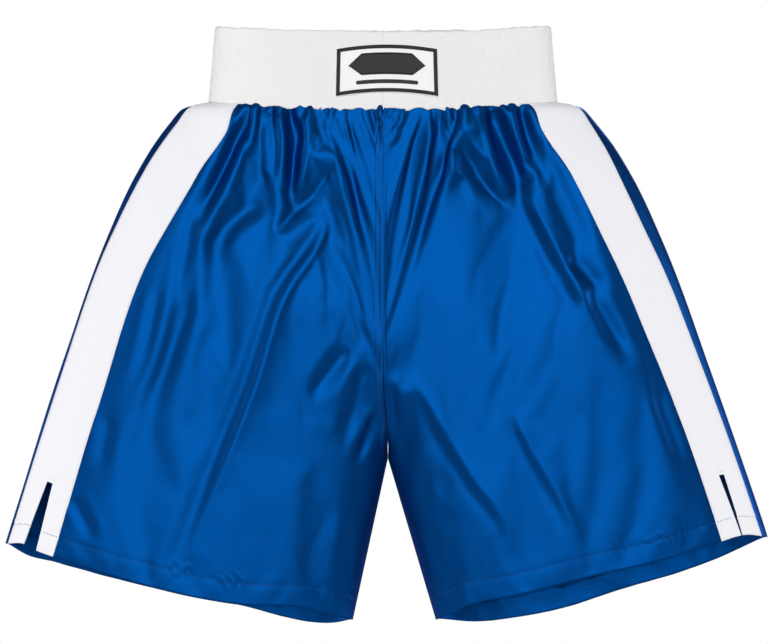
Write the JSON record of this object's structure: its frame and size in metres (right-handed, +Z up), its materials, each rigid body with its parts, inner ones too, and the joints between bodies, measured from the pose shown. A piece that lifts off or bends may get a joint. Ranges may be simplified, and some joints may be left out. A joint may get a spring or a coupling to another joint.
{
  "type": "boxing shorts",
  "caption": "Adult satin boxing trunks with a wide shirred elastic waistband, contrast side stripes, side hem vents and a plain front label; each leg swings at the crotch.",
  "frame": {"origin": "middle of the waist opening, in the plane of the waistband's top edge, where the wearer's waist holds the shorts", "axes": "+Z up, +X towards the wearer's left, so the front faces -Y"},
  "size_m": [0.708, 0.101, 0.5581],
  "materials": {
    "blue_satin": "royal blue polyester satin, shiny face out, gathered into folds",
    "white_satin": "white polyester satin, shiny face out",
    "crinkled_elastic_cloth": "off-white cloth shirred into fine upright pleats by elastic rows",
    "elastic_rubber": "braided elastic, matt",
    "label_cloth": "white woven label",
    "label_black": "black raised woven yarn",
    "care_label_cloth": "white satin tape, left blank",
    "blue_thread": "royal blue spun polyester sewing thread and overlocked seam allowance",
    "white_thread": "white spun polyester sewing thread"
  },
  "bodies": {
    "seat": {"back_panel_left_crease": "blue_satin", "back_panel_left_hip": "blue_satin", "back_panel_right_crease": "blue_satin", "back_panel_right_hip": "blue_satin", "centre_back_seam": "blue_thread", "centre_front_seam": "blue_thread", "elastic_row_1": "elastic_rubber", "elastic_row_2": "elastic_rubber", "elastic_row_3": "elastic_rubber", "elastic_row_4": "elastic_rubber", "elastic_row_5": "elastic_rubber", "front_panel_left_crease": "blue_satin", "front_panel_left_hip": "blue_satin", "front_panel_right_crease": "blue_satin", "front_panel_right_hip": "blue_satin", "label_backing": "label_cloth", "label_border": "label_black", "label_line": "label_black", "label_lozenge": "label_black", "side_stripe_left_crease": "white_satin", "side_stripe_left_hip": "white_satin", "side_stripe_right_crease": "white_satin", "side_stripe_right_hip": "white_satin", "waistband_casing": "crinkled_elastic_cloth", "waistband_lining": "crinkled_elastic_cloth"},
    "left_leg": {"back_panel_left_leg": "blue_satin", "front_panel_left_leg": "blue_satin", "hem_thread_back_left": "blue_thread", "hem_thread_front_left": "blue_thread", "inseam_left": "blue_thread", "side_stripe_left_leg": "white_satin", "stripe_thread_back_left": "blue_thread", "stripe_thread_front_left": "blue_thread", "vent_bartack_left": "white_thread"},
    "right_leg": {"back_panel_right_leg": "blue_satin", "front_panel_right_leg": "blue_satin", "hem_thread_back_right": "blue_thread", "hem_thread_front_right": "blue_thread", "inseam_right": "blue_thread", "side_stripe_right_leg": "white_satin", "stripe_thread_back_right": "blue_thread", "stripe_thread_front_right": "blue_thread", "vent_bartack_right": "white_thread"},
    "care_label": {"care_label": "care_label_cloth"}
  },
  "joints": [
    {"name": "left_leg_swing", "type": "hinge", "parent": "seat", "child": "left_leg", "pos_m": [0.1675, 0, -0.40045], "axis": [-0.9802, 0, -0.1981], "range_deg": [-20, 50], "deforming": ["front_panel_left_crease", "side_stripe_left_crease", "back_panel_left_crease"]},
    {"name": "right_leg_swing", "type": "hinge", "parent": "seat", "child": "right_leg", "pos_m": [-0.15978, 0, -0.40045], "axis": [-0.9811, 0, 0.1936], "range_deg": [-20, 50], "deforming": ["front_panel_right_crease", "side_stripe_right_crease", "back_panel_right_crease"]},
    {"name": "care_label_flip", "type": "hinge", "parent": "seat", "child": "care_label", "pos_m": [0, 0.0358, -0.06], "axis": [-1, 0, 0], "range_deg": [0, 75]}
  ]
}
